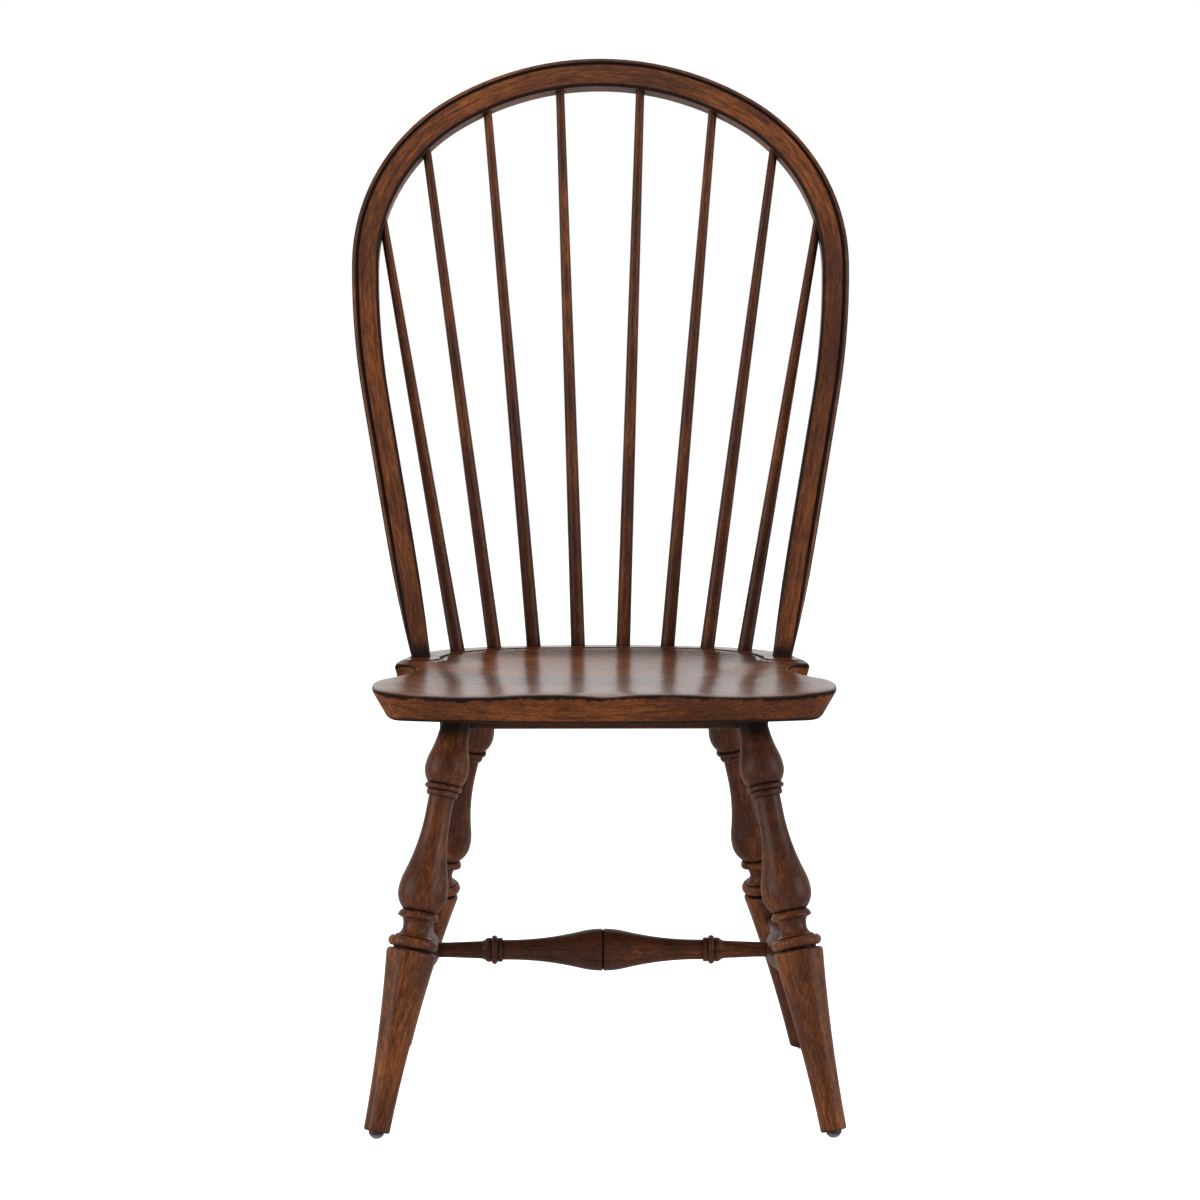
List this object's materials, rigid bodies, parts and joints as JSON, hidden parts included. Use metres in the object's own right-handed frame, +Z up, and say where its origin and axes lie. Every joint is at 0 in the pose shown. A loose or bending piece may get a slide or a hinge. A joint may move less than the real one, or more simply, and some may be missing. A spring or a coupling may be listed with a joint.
{
  "type": "bow-back dining chair",
  "caption": "Wooden bow-back side chair with a saddled plank seat, tapered spindles, raked double-vase turned legs and swelling stretchers, on small domed glides.",
  "frame": {"origin": "on the floor, under the middle of the chair's bounding box", "axes": "+Z up, the sitter faces -Y, +X to the right of the picture"},
  "size_m": [0.5444, 0.5332, 1.0962],
  "materials": {
    "seat_wood": "dark stained, satin lacquer",
    "bow_wood": "dark stained, satin lacquer",
    "spindle_wood": "dark stained, satin lacquer",
    "turned_wood": "dark stained, satin lacquer",
    "batten_wood": "dark stained",
    "glide_plastic": "smooth",
    "screw_steel": "dulled",
    "nail_steel": "plain"
  },
  "bodies": {
    "root": {"seat": "seat_wood", "bow": "bow_wood", "spindle_1": "spindle_wood", "spindle_2": "spindle_wood", "spindle_3": "spindle_wood", "spindle_4": "spindle_wood", "spindle_5": "spindle_wood", "spindle_6": "spindle_wood", "spindle_7": "spindle_wood", "spindle_8": "spindle_wood", "front_left_leg": "turned_wood", "front_right_leg": "turned_wood", "rear_left_leg": "turned_wood", "rear_right_leg": "turned_wood", "left_side_stretcher": "turned_wood", "right_side_stretcher": "turned_wood", "centre_stretcher": "turned_wood", "seat_batten": "batten_wood", "batten_screws": "screw_steel", "front_left_glide": "glide_plastic", "front_right_glide": "glide_plastic", "rear_left_glide": "glide_plastic", "rear_right_glide": "glide_plastic", "glide_nails": "nail_steel"}
  },
  "joints": []
}
